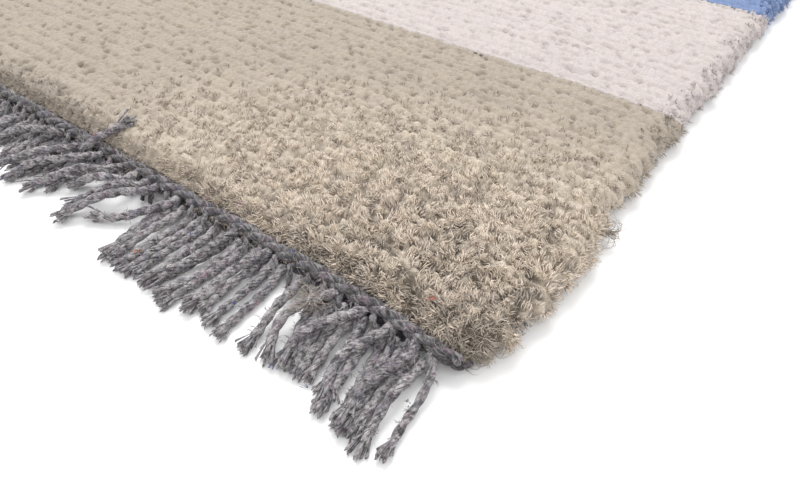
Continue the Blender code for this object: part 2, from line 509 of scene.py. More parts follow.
# packed wool that swells into knots, with locks standing out of it
pile = {
    "rowPairs": 70,
    "knotPitch": 0.00545,
    "pairLean": 0.0006,  # the two rows of a pair lean to each other
    "jitter": 0.0009,
    "cloudLean": 0.0016,
    "cloudSize": 0.013,
    "crease": 0.0014,  # depth between two knots
    "dome": 0.0006,
    "lumps": 0.0009,
    "hollowPitch": 0.011,
    "hollowDepth": 0.0058,
    "hollowAcross": 0.0036,
    "hollowAlong": 0.0018,
    "bands": (-0.212, 0.004, 0.225),  # where one colour gives way to the next
    "plump": 0.0022,  # how much higher it stands where it isn't worn loose
    "groove": 0.0014,  # between one pair of rows and the next
    "top": round(bodyHigh.z - 0.0042, 4),
    "overhang": (0.0012, 0.0024, 0.0032, 0.0036),  # where it closes, past each end
    "steps": ((0.0015, 0.0020), (0.0018, 0.0022), (0.0022, 0.0027), (0.0022, 0.0027)),  # across and along
}
rowPitch = halfLength / pile["rowPairs"]
# distance in from the side, height as a share of the way up, and the way it faces
sideProfile = (
    (0.0050, 0.00, -0.5), (0.0012, 0.10, -0.2), (0.0002, 0.26, 0.0), (0.0000, 0.43, 0.2),
    (0.0006, 0.60, 0.45), (0.0020, 0.76, 0.8), (0.0042, 0.89, 1.1), (0.0068, 0.965, 1.35),
)


def knotPlaces(rng):
    # the middle of each knot's head, row by row
    places = []
    for row in range(-1, 2 * pile["rowPairs"] + 1):
        y0 = -halfLength + rowPitch * (row + 0.5)
        lean = pile["pairLean"] if row % 2 == 0 else -pile["pairLean"]
        start = 0.5 * (row % 2) + rng.uniform(-0.15, 0.15)
        x0 = -halfWidth - 0.006 + pile["knotPitch"] * start
        for column in range(round(2 * halfWidth / pile["knotPitch"]) + 3):
            x = x0 + pile["knotPitch"] * column + rng.normal(0, pile["jitter"])
            y = y0 + lean + rng.normal(0, pile["jitter"] * 0.8)
            wander = noise.noise_vector(Vector((x, y, 0.3)) / pile["cloudSize"]) * pile["cloudLean"]
            places.append((x + wander.x, y + wander.y))
    return places


def hollowPlaces(rng):
    # small hollows that open between knots
    places = []
    for row in range(2 * pile["rowPairs"]):
        y = -halfLength + rowPitch * row
        x = -halfWidth - 0.01
        while x < halfWidth:
            x += pile["hollowPitch"] * (1.0 if row % 2 == 0 else 2.6) * rng.uniform(0.5, 1.5)
            places.append((x, y + rng.normal(0, 0.0018), rng.uniform(0.1, 1) ** 1.7, rng.uniform(-0.5, 0.5)))
    return places


def searchable(places):
    tree = kdtree.KDTree(len(places))
    for number, place in enumerate(places):
        tree.insert((place[0], place[1], 0), number)
    tree.balance()
    return tree


knots = searchable(knotPlaces(seeded(11)))
hollowList = hollowPlaces(seeded(12))
hollows = searchable(hollowList)


def woolSwell(x, y, depthShare):
    # how far the wool stands above or below its mean surface, in plan coordinates
    def lumps(size, layer):
        return pile["lumps"] * noise.noise(Vector((x, y, layer)) / size)

    (_, _, nearest), (_, _, second) = knots.find_n((x, y, 0), 2)
    swell = -pile["crease"] * (1 - smooth(second - nearest, 0, 0.0024))
    swell -= pile["dome"] * (nearest / 0.0034) ** 2
    ridge = 0.5 + 0.5 * cos(pi * (y + halfLength) / rowPitch)
    broken = smooth(noise.noise(Vector((x / 0.012, y / 0.006, 4.0))), -0.35, 0.45)
    plain = 1 if bandOf(y) == 1 else 0.6
    swell -= pile["groove"] * plain * (0.25 + 1.1 * broken) * ridge**2 * (1.5 - depthShare)
    swell += lumps(0.0075, 1.0)
    swell += lumps(0.0040, 3.0) * 1.1
    swell += lumps(0.032, 7.0)
    swell *= depthShare
    blur = noise.noise(Vector((x, y, 5.0)) / 0.0035) * 0.45
    deep = pile["hollowDepth"] * (0.5 + 0.5 * depthShare) * (1 - 0.6 * wear(x, y))
    for place, number, distance in hollows.find_range((x, y, 0), 0.005):
        depth, skew = hollowList[number][2:]
        dx = (x - place[0]) / pile["hollowAcross"]
        dy = (y - place[1] - skew * (x - place[0])) / pile["hollowAlong"]
        swell -= deep * depth * max(0.0, 1 - dx * dx - dy * dy + blur)
    return swell


def bandOf(y):
    return sum(y > edge for edge in pile["bands"])


def bandShift(x, y):
    # the colours meet along a slightly uneven line
    near = min(abs(y - edge) for edge in pile["bands"])
    return 0.0013 * uneven(x, 0.012) * (1 - smooth(near, 0.0, 0.012))


# use has worn the wool loose at the front's right corner
wornCorner = {
    "place": (0.29, -0.45),
    "squash": (0.75, 1.3),  # it reaches further across than along
    "reach": (0.02, 0.28),  # where it starts to fade and where it ends
    "edge": 0.35,  # how loose every edge is
    "clumps": 0.0062,
    "curlPlace": (0.284, -0.452),
    "curlReach": (0.014, 0.036),
    "curlEdge": 0.30,  # and some curls along the front
}


def wear(x, y):
    # 1 at the corner and 0 on plain wool
    (cx, cy), (kx, ky) = wornCorner["place"], wornCorner["squash"]
    return 1 - smooth(hypot((x - cx) * kx, (y - cy) * ky), *wornCorner["reach"])


def looseness(x, y):
    edge = 1 - smooth(min(halfWidth - 0.004 - abs(x), halfLength - abs(y)), 0.0, 0.022)
    return max(wear(x, y), wornCorner["edge"] * edge)


def clump(x, y):
    # worn wool gathers in clumps: 1 on one and 0 in the gaps
    return smooth(noise.noise(Vector((x, y * 1.3, 9.0)) / wornCorner["clumps"]), -0.34, 0.12)


def curliness(x, y):
    # where long fibres have worked free
    cx, cy = wornCorner["curlPlace"]
    corner = 1 - smooth(hypot(x - cx, y - cy), *wornCorner["curlReach"])
    edge = smooth(-y, halfLength - 0.009, halfLength - 0.001) * smooth(x, -0.1, 0.25)
    return max(corner, wornCorner["curlEdge"] * edge)


def packedWool(name, number):
    # one band of the pile, swept along Y and closed at both ends
    edges = (-halfLength, *pile["bands"], halfLength)
    start, stop = edges[number], edges[number + 1]
    stepX, stepY = pile["steps"][number]
    count = round((stop - start) / stepY)
    stations = spaced(start, stop, count)
    free = {0: front, 3: back}.get(number, 0)
    if free:
        stations += [free * (halfLength + extra) for extra in pile["overhang"]]
    low = plan["ground"] - 0.0004
    columns = round(2 * halfWidth / stepX)
    vertices, rings, marks = [], [], []
    for y in sorted(stations):
        end = halfLength + pile["overhang"][-1] - abs(y)
        corner = plan["corner"] + 0.003
        inward = corner - min(max(end, 0.0), corner)
        half = halfWidth - plan["groundInset"] - 0.0004 - corner
        half += sqrt(max(corner**2 - inward**2, 0.0))
        roll = max(0.0, 1 - end / 0.012)
        top = low + (pile["top"] - low) * (1 - 0.62 * roll**2.2)
        ring = []

        def put(x, z, nx, ny, nz, inner):
            # inner is how far the point lies from the edge, and the swell fades in over it
            slack, curl, used = looseness(x, y), curliness(x, y), wear(x, y)
            fade = 0.35 + 0.65 * smooth(inner, -0.004, 0.006)
            swell = woolSwell(x, y, 0.60 + 0.40 * slack) * fade
            # gap: the gaps between clumps of worn wool, which sink a little and get painted shade
            gap = (1 - clump(x, y)) * used
            plump = pile["plump"] * (1 - slack) * fade
            swell += plump + 0.0026 * max(0.0, curl - 0.3) - 0.0018 * gap * fade
            tuck = 0.0035 * smooth(x, 0.25, 0.29) * smooth(-y, 0.42, 0.455)
            ring.append(len(vertices))
            place = Vector((x - tuck, bowed(x, y + bandShift(x, y)), z))
            vertices.append(place + Vector((nx, ny, nz)) * swell)
            # painted shade: darker under the curls, in the worn corner and low on the front roll
            paintedShade = 0.28 * min(1.0, curl) + 0.05 * used**2 + 0.20 * roll * (1 - smooth(z, 0.004, 0.016))
            stand = swell - plump
            # rise falls in hollows and with the painted shade above, and the wool's colour takes painted
            # shade from it
            marks.append({
                "rise": 0.76 + stand * (70 + 45 * slack**2) - paintedShade,
                "crown": max(roll, curl, 0.6 * used, smooth(stand, -0.0034, -0.0014)) * (1 - 0.3 * gap),
                "gap": gap, "near": slack + 0.35 * roll * (free == front), "worn": used, "curl": curl,
                "toward": (nx, ny * 1.8, nz),
            })

        for sign in (1, -1):
            wave = uneven(y + 0.1 * (sign > 0), plan["scallop"])
            slow = uneven(y + 0.02 * (sign > 0), 0.070)
            spread = (sign > 0) * smooth(-y, 0.335, 0.365) * (1 - smooth(-y, 0.400, 0.424))
            for inset, share, face in sideProfile[::sign]:
                bulge = 0.0026 * wave * sin(pi * min(1.0, share * 1.1))
                bulge += 0.0018 * slow + 0.0062 * spread
                z = low + (top - low) * share
                lump = 0.0011 * noise.noise(Vector((sign * 0.3, y, z)) / 0.006)
                x = sign * (half - inset + bulge + lump)
                put(x, z, sign * cos(face), free * roll * 0.8, sin(face), -0.002 + 0.006 * share)
            if sign > 0:
                span = half - 0.0085
                for x in spaced(span, -span, columns):
                    put(x, top, 0.0, free * roll * 0.9, 1.0, min(half - abs(x), end))
        rings.append(ring)
    values = {key: [mark[key] for mark in marks] for key in marks[0]}
    return newPiece(name, newMesh(name, vertices, closedRings(rings), values))


def groundOutline():
    # points round the ground, each with the direction outwards
    pitch, radius = 0.008, plan["corner"]
    halfX = halfWidth - plan["groundInset"] - radius
    halfY = halfLength - radius
    centres = ((halfX, -halfY), (halfX, halfY), (-halfX, halfY), (-halfX, -halfY))
    points = []
    for quarter, (cx, cy) in enumerate(centres):
        nx, ny = centres[(quarter + 1) % 4]
        start = pi / 2 * (quarter - 1)
        arc = (start, pi / 2, cx, cy, radius * pi / 2)
        straight = (start + pi / 2, 0, nx, ny, hypot(nx - cx, ny - cy))
        for first, swing, toX, toY, long in (arc, straight):
            steps = max(3, round(long / pitch))
            for step in range(steps):
                t = step / steps
                turn = first + swing * step / steps
                ox, oy = cos(turn), sin(turn)
                points.append((cx + (toX - cx) * t + radius * ox, cy + (toY - cy) * t + radius * oy, ox, oy))
    return points


# each band's name, slot, tip colour and root colour, the painted shade low in the pile
taupe = ((0.430, 0.370, 0.306), (0.165, 0.135, 0.105))
bandWools = (
    ("taupe_front", "taupe_pile", *taupe),
    ("pink", "pink_pile", (0.560, 0.505, 0.497), (0.360, 0.310, 0.300)),
    ("blue", "blue_pile", (0.151, 0.233, 0.436), (0.084, 0.130, 0.268)),
    ("taupe_back", "taupe_pile", *taupe),
)
greyShader = {
    "Roughness": 0.9,
    "Specular IOR Level": 0.2,
    "Sheen Weight": 0.25,
    "Sheen Roughness": 0.45,
}


yarnLook = {
    "own": 0.06,  # from one strand to the next
    "heather": (0.43, 0.60),  # how gradually the light and the dark wool meet
    "violet": (0.20, 0.13, 0.175, 1.0),
    "blue": (0.060, 0.064, 0.100, 1.0),
    "fibre": 4.8,
    # how much lighter the loose fuzz is drawn than its yarn
    "brushed": 0.6,
    "bump": {"Strength": 0.8, "Distance": 0.0008},
}


def greyYarn(name, colour, shade):
    material, graph, shader = newMaterial(name, greyShader)
    look = yarnLook
    places = graph.node("ShaderNodeTexCoord").out("Object")
    weave = graph.node("ShaderNodeAttribute", attribute_name="weave").out("Vector")
    fibre = graph.grain(1200.0, 3.0, 0.7, places) * 0.4 + graph.grain(1500.0, 3.0, 0.65, weave) * 0.6
    heather = graph.grain(420.0, 3.0, 0.6, places) * 0.5 + graph.grain(800.0, 2.0, 0.6, weave) * 0.5
    own = graph.node("ShaderNodeTexWhiteNoise", {"W": graph.attribute("phase")}, noise_dimensions="1D")
    lightness = graph.between(heather + own * look["own"], 0.0, 1.0, *look["heather"])
    wool = graph.blend(lightness, (*shade, 1.0), (*colour, 1.0))
    warm = graph.grain(260.0, 2.0, 0.6, places)
    wool = graph.blend(graph.between(warm, 0.0, 0.36, 0.50, 0.66), wool, look["violet"])
    cold = graph.grain(170.0, 2.0, 0.5, graph.vector("ADD", places, (3.0, 5.0, 7.0)))
    wool = graph.blend(graph.between(cold, 0.0, 0.45, 0.54, 0.70), wool, look["blue"])
    light = 1 + (fibre - 0.5) * look["fibre"] + graph.attribute("free") * look["brushed"]
    dress(graph, shader, wool, light, light, look["bump"], fibre)
    return material


def wovenGround():
    # four rings from the floor up: height, distance out at the sides, and distance out at the ends
    ledge, high = plan["ledge"], plan["ground"]
    levels = (
        (0.0, -0.0052, ledge - 0.0004), (0.0006, -0.0046, ledge),
        (high - 0.0008, -0.0046, ledge), (high, -0.0054, ledge - 0.0008),
    )
    vertices, rings, outline = [], [], groundOutline()
    for height, side, end in levels:
        start = len(vertices)
        for x, y, ox, oy in outline:
            y += oy * (end - 1.25 * ledge * smooth(abs(x), 0.258, 0.282))
            x += ox * side
            vertices.append(Vector((x, bowed(x, y), height)))
        rings.append(list(range(start, len(vertices))))
    return newPiece("woven_ground", newMesh("woven_ground", vertices, closedRings(rings)))


def twistingTree():
    # two plies twisted round each other along every path
    graph, given = newTree("twisting", {
        "Paths": "Geometry", "Ply Radius": "Float", "Ply Offset": "Float", "Twist Pitch": "Float",
        "Step": "Float", "Ply Sides": "Int", "Wool": "Material",
    })
    curves = graph.node("GeometryNodeMeshToCurve", {"Mesh": given("Paths")})
    rounded = graph.node("GeometryNodeCurveSplineType", {"Curve": curves}, spline_type="CATMULL_ROM")
    fine = graph.node("GeometryNodeResampleCurve", {"Curve": rounded, "Length": given("Step")},
                      mode="LENGTH")
    tangent = graph.node("GeometryNodeInputTangent")
    side = graph.vector("NORMALIZE", graph.vector("CROSS_PRODUCT", tangent, (0.0, 0.0, 1.0)))
    lift = graph.vector("CROSS_PRODUCT", side, tangent)
    run = graph.node("GeometryNodeSplineParameter").out("Length")
    fine = graph.keep(fine, "run", run)
    girth, phase = graph.named("girth"), graph.named("phase")
    profile = graph.node("GeometryNodeCurvePrimitiveCircle", {
        "Resolution": given("Ply Sides"), "Radius": given("Ply Radius"),
    })
    profile = graph.keep(profile, "lane", graph.node("GeometryNodeInputPosition"), "FLOAT_VECTOR")
    reach = given("Ply Offset") * girth
    plies = []
    for start in (0.0, pi):
        angle = run / given("Twist Pitch") * (2 * pi) + phase + start
        across = graph.vector("SCALE", side, Scale=angle.math("COSINE", angle) * reach)
        upward = graph.vector("SCALE", lift, Scale=angle.math("SINE", angle) * reach)
        plies.append(graph.node("GeometryNodeCurveToMesh", {
            "Curve": graph.moved(fine, graph.vector("ADD", across, upward)), "Profile Curve": profile,
            "Scale": girth, "Fill Caps": True,
        }))
    joined = graph.node("GeometryNodeJoinGeometry", {"Geometry": plies})
    # the fibres of a ply wind the other way, so weave is a place along and across the ply
    around = graph.named("run") / given("Twist Pitch") * (-3.2 * pi)
    lane = graph.node("ShaderNodeSeparateXYZ", {"Vector": graph.named("lane", "FLOAT_VECTOR")})
    u, v = lane.out("X"), lane.out("Y")
    cosine, sine = around.math("COSINE", around), around.math("SINE", around)
    weave = graph.node("ShaderNodeCombineXYZ", {
        "X": u * cosine - v * sine, "Y": u * sine + v * cosine,
        "Z": graph.named("run") * 0.12 + graph.named("phase"),
    })
    joined = graph.keep(joined, "weave", weave, "FLOAT_VECTOR")
    joined = graph.keep(joined, "toward", graph.node("GeometryNodeInputNormal"), "FLOAT_VECTOR")
    return endTree(graph, graph.keep(graph.keep(joined, "near", 1.0), "crown", 1.0))


def pathMesh(name, paths):
    # each path is a chain of edges: its points, each with its girth, and a phase of its own
    places, edges, girths, phases = [], [], [], []
    for points, phase in paths:
        start = len(places)
        for point, girth in points:
            places.append(point)
            girths.append(girth)
            phases.append(phase)
        edges += [(i, i + 1) for i in range(start, len(places) - 1)]
    return newMesh(name, places, [], {"girth": girths, "phase": phases}, edges)


# a ridge cord over the ends of the ground, and the hooks that hold the fringe
heading = {
    "ridgeHeight": 0.0098,
    "ridgeBack": 0.0016,  # the ridge's middle, back from the ledge's edge
    "ridgeEnd": 0.016,  # it stops this far inside the side of the pile
    "hookPitch": 0.0111,
    "hookSlant": 0.0050,
    "wefts": ((-0.0054, 0.0082, 0.024), (-0.0085, 0.0072, 0.022)),  # distance out, height, and end
    "cordEnd": ((274, 1, 9), (280, 0, 8), (284, -3, 6), (286, -9, 5)),  # tucked in at each corner, in mm
}


yarnSizes = ("Ply Radius", "Ply Offset", "Twist Pitch", "Step", "Ply Sides")
ridgeYarn = dict(zip(yarnSizes, (0.0023, 0.0016, 0.0245, 0.0020, 8)))
weftYarn = dict(zip(yarnSizes, (0.0011, 0.0008, 0.0130, 0.0034, 5)))
hookYarn = dict(zip(yarnSizes, (0.00115, 0.00075, 0.0130, 0.0012, 7)))
strandYarn = dict(zip(yarnSizes, (0.00205, 0.00085, 0.0190, 0.0024, 7)))


def placed(facing, x, out, z):
    # a point from its distance out past the ledge's edge; the back end is the front turned round
    x, y = -facing * x, facing * (ledgeEdge + out)
    return Vector((x, bowed(x, y), z))


def placedMm(facing, point):
    x, out, z = point
    return placed(facing, x / 1000, out / 1000, z / 1000)


def alongPath(facing, out, height, end, rng):
    pitch, sway = 0.006, 0.0004
    half = halfWidth - end
    count = round(2 * half / pitch)
    points = []
    for i, x in enumerate(spaced(-half, half, count)):
        taper = 0.6 + 0.4 * smooth(min(i, count - i), 0, 2)
        aside = out + sway * uneven(x, 0.05) + rng.normal(0, sway * 0.5)
        high = height + sway * uneven(x + 0.3, 0.07) + rng.normal(0, sway * 0.4)
        points.append((placed(facing, x, aside, high), taper))
    return points, rng.uniform(0, 6)


def hookPaths(facing, rng):
    paths = []
    half = halfWidth - heading["ridgeEnd"] - 0.013
    count = round(2 * half / heading["hookPitch"])
    for x in spaced(-half, half, count):
        x += rng.normal(0, 0.0007)
        slant = heading["hookSlant"] * rng.uniform(0.7, 1.3)
        high = heading["ridgeHeight"] + rng.uniform(0.0, 0.0012)
        # share of the slant, distance out, height and girth
        turn = (
            (-0.4, 0.0010, high - 0.0022, 0.9), (0.0, 0.0042, high - 0.0012, 1.0),
            (0.45, 0.0068, high - 0.0030, 1.0), (0.85, 0.0094, high - 0.0058, 0.95),
            (1.0, 0.0112, 0.0018, 0.8),
        )
        points = [(placed(facing, x + slant * share, out, z), girth) for share, out, z, girth in turn]
        paths.append((points, rng.uniform(0, 6)))
    return paths


def selvedgePaths(rng):
    # grey weft that shows low on each side, between two swells
    # along, out and up
    turn = (
        (-0.0075, -0.003, 0.0030), (-0.0045, 0.0, 0.0065), (0.0, 0.0014, 0.0085),
        (0.0045, 0.0, 0.0065), (0.0075, -0.003, 0.0030),
    )
    x = halfWidth - 0.0105
    paths = []
    for sign in (1, -1):
        for number in range(-17, 18, 2):
            y = (number - 0.25) * plan["scallop"] - 0.1 * (sign > 0) % plan["scallop"] + rng.normal(0, 0.004)
            points = []
            for along, out, up in turn:
                place = (sign * (x + out + rng.normal(0, 0.0003)), bowed(x, y + along), up)
                points.append((place, 0.95))
            paths.append((points, rng.uniform(0, 6)))
    return paths


# the fringe's strands, by bunches from the front's right end to its left
fringeLow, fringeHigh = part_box("fringe_front")
fringe = {
    "strandWidth": 0.0062,
    "length": round(fringeHigh.y - fringeLow.y, 3),
    "slit": 0.0006,
    "flare": 0.0115,  # the plies open out this far before the tip
    "tangled": (-0.12, 0.065),  # between these the front's strands are crossed and short
    "strays": (0.038, 0.080, 0.273),  # between the first two, and past the third, only strays leave
}
# strands, gap before in mm, length in hundredths, and how far its edges swing by their tips in mm
bunches = {
    front: (
        (1, 0, 92, 7, 7), (6, 1, 90, 2, 9), (6, 0, 80, 8, 11), (1, 5, 90, 8, 8), (1, 7, 90, 5, 5),
        (3, 1, 87, 2, -3), (3, 1, 92, -4, -6), (4, 6, 91, -1, -3), (3, 3, 91, -1, 6),
        (5, 2, 85, -28, -22), (5, 1, 68, -22, -12), (5, 1, 70, -13.5, -4), (6, 2, 72, -3, 4),
        (5, 1, 76, 3, -6), (9, 3, 90, -4, 4), (2, 2, 86, 3, 2), (11, 1, 95, 2, 9), (8, 4, 91, -3, -6),
    ),
    back: (
        (10, 0, 95, 5, 10), (11, 4, 100, 1, 4), (2, 2, 85, 3, 1), (10, 3, 92, -3, 5), (12, 1, 98, 3, 2),
        (1, 4, 90, -2, -2), (8, 5, 94, -1, 6), (3, 1, 80, 3, 0), (9, 2, 91, -3, -1),
        (10, 3, 100, -2, 3), (10, 2, 93, 1, -4),
    ),
}


def tipSeat(before, tip, flare):
    # where a strand's brushed end starts, and its direction and length
    run = (tip - before).normalized()
    return (*(tip - run * 0.006), *(run * fringe["flare"] * flare))


def strandPaths(facing, rng):
    # the twisted strands, and a seat at each tip for its open end
    rows = [(n, gap / 1000, length / 100, a / 1000, b / 1000) for n, gap, length, a, b in bunches[facing]]
    width = fringe["strandWidth"]
    strayStart, strayStop, strayEnd = fringe["strays"]
    right = sum(gap + count * width for count, gap, *rest in rows) / 2
    paths, tips = [], []
    for count, gap, length, rightSwing, leftSwing in rows:
        right -= max(gap, fringe["slit"])
        for i in range(count):
            t = (i + 0.5) / count
            x = right - width * (i + 0.5)
            if facing == front and (strayStart < x < strayStop or x > strayEnd):
                continue
            tangled = facing == front and fringe["tangled"][0] < x < fringe["tangled"][1]
            tangle = 0.0045 if tangled else 0.0018
            swing = rightSwing * (1 - t) + leftSwing * t + rng.normal(0, tangle)
            reach = fringe["length"] * length * rng.uniform(0.55 if tangled else 0.93, 1.03) - 0.004
            bend = rng.normal(0, 0.0012)
            up = abs(rng.normal(0, tangle))
            points = []
            for step in range(7):
                s = step / 6
                wave = sin(pi * s)
                height = 0.0028 + 0.0028 * (1 - smooth(s, 0.0, 0.3)) + up * wave**2
                side = -facing * (x + swing * s**1.3 + bend * wave)
                girth = 0.92 + 0.08 * sin(7 * s + i) - 0.2 * smooth(s, 0.85, 1.0)
                points.append((placed(facing, side, 0.0035 + (reach - 0.0035) * s, height), girth))
            paths.append((points, rng.uniform(0, 6)))
            tips.append(tipSeat(points[-2][0], points[-1][0], rng.uniform(0.85, 1.15)))
        right -= count * width
    return paths, tips


brush = {
    "wisps": 22,
    "kinds": 6,
}


def brushTemplate(number):
    # the open end of a strand: loose wisps with blunt ends, of unit length
    rng = seeded(500 + number)
    vertices, faces = [], []
    for i in range(brush["wisps"]):
        out = outwardOf(rng, i, brush["wisps"], 0.4) * rng.uniform(0.15, 1.0)
        foot = out * 0.10 + Vector((0, 0, rng.uniform(-0.15, 0.1)))
        head = out * rng.uniform(0.22, 0.50) + Vector((0, 0, rng.uniform(0.62, 1.1)))
        addSpindle(vertices, faces, foot, head, sideways(rng, 0.05), rng.uniform(0.04, 0.07), 4, rng, 0.90)
    return newMesh(f"brush{number}", vertices, faces)


# strands that lie over the others at the front, by x, distance past the ledge, and height, in mm
strayStrands = (
    ((273, 3, 8), (277, 11, 7), (279, 22, 4), (280, 34, 3), (282, 46, 3)),
    ((262, 2, 9), (263, 12, 9), (259, 25, 8), (257, 37, 7), (260, 46, 5)),
    ((247, 2, 9), (245, 12, 10), (240, 25, 9), (240, 35, 7), (245, 44, 5)),
    ((231, 2, 9), (227, 12, 11), (220, 23, 10), (216, 33, 8), (218, 42, 5)),
    ((213, 2, 9), (208, 13, 10), (203, 25, 9), (204, 35, 7), (209, 44, 5)),
    ((166, 2, 9), (163, 12, 9), (160, 25, 8), (161, 37, 6), (158, 47, 5)),
    ((140, 2, 9), (138, 12, 9), (139, 25, 8), (134, 38, 6), (131, 47, 5)),
    ((92, 3, 9), (90, 11, 9), (84, 17, 7), (77, 26, 5), (69, 34, 4), (62, 37, 4)),
    ((72, 3, 9), (74, 9, 11), (69, 16, 12), (62, 23, 12), (55, 31, 10), (51, 41, 8), (47, 48, 5)),
    ((62, 2, 9), (66, 9, 11), (60, 16, 14), (54, 24, 12), (48, 32, 9), (44, 39, 6)),
    ((52, 3, 10), (55, 12, 12), (48, 19, 15), (38, 23, 12), (31, 29, 9)),
    ((38, 4, 10), (38, 14, 13), (27, 22, 14), (17, 30, 10), (9, 40, 6), (6, 44, 5)),
    ((18, 3, 10), (13, 18, 13), (2, 27, 12), (-9, 35, 9), (-14, 44, 5)),
    ((2, 3, 10), (-2, 16, 13), (-12, 28, 13), (-20, 37, 10), (-27, 45, 7)),
    ((-22, 4, 11), (-34, 12, 13), (-50, 19, 10), (-61, 30, 6)),
    ((8, 9, 12), (10, 5, 15), (12, 0, 18), (14, -6, 19), (15, -13, 20), (15, -19, 21)),
)
# specks of other yarn: x, y and height in mm
coral, magenta, white = (0.75, 0.12, 0.08), (0.30, 0.11, 0.18), (0.8, 0.78, 0.75)
navy, orange, slate, black = (0.03, 0.05, 0.20), (0.6, 0.22, 0.06), (0.07, 0.075, 0.085), (0.02, 0.02, 0.02)
specks = (
    (256, -449, 18, coral), (229, -465, 14, magenta), (241, -462, 15, white), (178, -459, 11, navy),
    (121, -478, 7, navy), (109, -504, 6, orange), (130, -501, 6, white), (127, -503, 6, white),
    (147, -505, 6, white), (178, -498, 6, navy), (186, -493, 7, magenta), (151, -494, 6, magenta),
    (129, -451, 14, magenta), (219, -514, 6, navy), (238, -512, 6, navy), (277, -492, 6, black),
    (297, -431, 12, slate), (297, -433, 9, slate), (298, -429, 11, slate), (14, -461, 21, coral),
    (110, -456, 13, magenta),
)


def finishPiece(piece, slotName, *nodes):
    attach(piece, "root")
    if nodes:
        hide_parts(*nodes)
    return piece


def addPiece(name, mesh, tree, inputs, slotName, *nodes):
    # evaluates a tree on a mesh and keeps the result as a plain piece
    holder = newObject(f"{name}Holder", mesh)
    modifier = holder.modifiers.new("make", "NODES")
    modifier.node_group = tree
    sockets = {s.name: s.identifier for s in tree.interface.items_tree if s.in_out == "INPUT"}
    for label, value in inputs.items():
        modifier[sockets[label]] = value
    depsgraph = bpy.context.evaluated_depsgraph_get()
    made = bpy.data.meshes.new_from_object(holder.evaluated_get(depsgraph))
    bpy.data.objects.remove(holder)
    made.name = name
    piece = finishPiece(newPiece(name, made), slotName, *nodes)
    return piece


planting, twisting, scattering = plantingTree(), twistingTree(), scatteringTree()
locks = shapes("locks", lockTemplate, lock["kinds"])
fibres = shapes("fibres", fibreTemplate, curl["kinds"])
down = shapes("down", downTemplate, kinds=8)
brushes = shapes("brushes", brushTemplate, brush["kinds"])

groundYarn = greyYarn("ground_weave", (0.105, 0.098, 0.102), (0.038, 0.035, 0.038))
cordYarn = greyYarn("grey_cord_wool", (0.215, 0.205, 0.207), (0.042, 0.040, 0.042))
fringeYarn = greyYarn("grey_fringe_wool", (0.350, 0.332, 0.336), (0.055, 0.051, 0.055))

ground = wovenGround()
ground.data.materials.append(groundYarn)
finishPiece(ground, "grey_cord", "pile_rug_body")
print("stage: ground")

# how the pile's locks, the corner's curls and the yarn's fuzz are scattered
scatter = ("Where", "Density", "Length Far", "Tilt", "Length Spread", "Sink")
standing = dict(zip(scatter, ("near", 145000.0, 0.66, 0.7, 0.25, 0.0018)))
curled = dict(zip(scatter, ("curl", 400000.0, 1.0, 1.2, 0.45, 0.0010)))
fuzzed = dict(zip(scatter, ("near", 52000.0, 1.0, 1.3, 0.4, 0.0003)))
plainFuzz = {**fuzzed, "Density": 30000.0}
for number, (bandName, slotName, colour, shade) in enumerate(bandWools):
    wool = pileWool(f"{bandName}_wool", colour, shade)
    base = packedWool(f"pile_{bandName}", number)
    base.data.materials.append(wool)
    finishPiece(base, slotName)
    tufts = addPiece(f"locks_{bandName}", base.data.copy(), scattering, {
        **standing, "Shapes": locks, "Seed": 20 + number, "Wool": wool,
    }, slotName)
    if number == 0:
        addPiece("curls_taupe", base.data.copy(), scattering, {
            **curled, "Shapes": fibres, "Seed": 31, "Wool": wool,
        }, slotName)
    print("stage:", base.name, len(base.data.polygons), "faces,", len(tufts.data.polygons), "in its locks")

addPiece("selvedge_loops", pathMesh("selvedge", selvedgePaths(seeded(38))), twisting, {
    **hookYarn, "Wool": fringeYarn,
}, "grey_cord")

for facing, end, fuzz in ((front, "front", fuzzed), (back, "back", plainFuzz)):
    rng = seeded(40 + facing)

    def addYarn(name, paths, yarn, wool, slotName="grey_cord", *nodes):
        mesh = pathMesh(name, paths)
        return addPiece(f"{name}_{end}", mesh, twisting, {**yarn, "Wool": wool}, slotName, *nodes)

    ridgePath = alongPath(facing, -heading["ridgeBack"], heading["ridgeHeight"], heading["ridgeEnd"], rng)
    ridge = addYarn("heading_ridge", [ridgePath], ridgeYarn, cordYarn, "grey_cord", f"heading_cord_{end}")
    cordEnds = []
    for side in (1, -1):
        points = [placedMm(facing, (side * x, out, z)) for x, out, z in heading["cordEnd"]]
        cordEnds.append(([(point, 1.0) for point in points], 1.0))
    addYarn("heading_ends", cordEnds, hookYarn, groundYarn)
    wefts = [alongPath(facing, *weft, rng) for weft in heading["wefts"]]
    addYarn("heading_wefts", wefts, weftYarn, groundYarn)
    hooks = addYarn("heading_hooks", hookPaths(facing, rng), hookYarn, cordYarn)
    paths, tips = strandPaths(facing, rng)
    for number, stray in enumerate(strayStrands if facing == front else ()):
        path = [placedMm(front, point) for point in stray]
        girth = 0.75 if number == 0 else 0.95
        paths.append(([(point, girth) for point in path], rng.uniform(0, 6)))
        tips.append(tipSeat(path[-2], path[-1], 1.15))
    strands = addYarn("fringe_strands", paths, strandYarn, fringeYarn, "grey_fringe", f"fringe_{end}")
    lengths = [hypot(*t[3:]) for t in tips]
    tipMesh = newMesh("tips", [t[:3] for t in tips], [], {
        "direction": [t[3:] for t in tips], "reach": lengths, "girth": lengths,
    })
    addPiece(f"fringe_tips_{end}", tipMesh, planting, {
        "Girth Spread": 0.15, "Length Spread": 0.1, "Shapes": brushes, "Seed": 60 + facing,
        "Wool": fringeYarn,
    }, "grey_fringe")
    for source, slotName in ((strands, "grey_fringe"), (ridge, "grey_cord"), (hooks, "grey_cord")):
        addPiece(source.name.replace("_", "_fuzz_", 1), source.data.copy(), scattering, {
            **fuzz, "Shapes": down, "Seed": 70 + facing, "Wool": fringeYarn,
        }, slotName)
    print("stage:", end, "heading and fringe", len(strands.data.polygons))

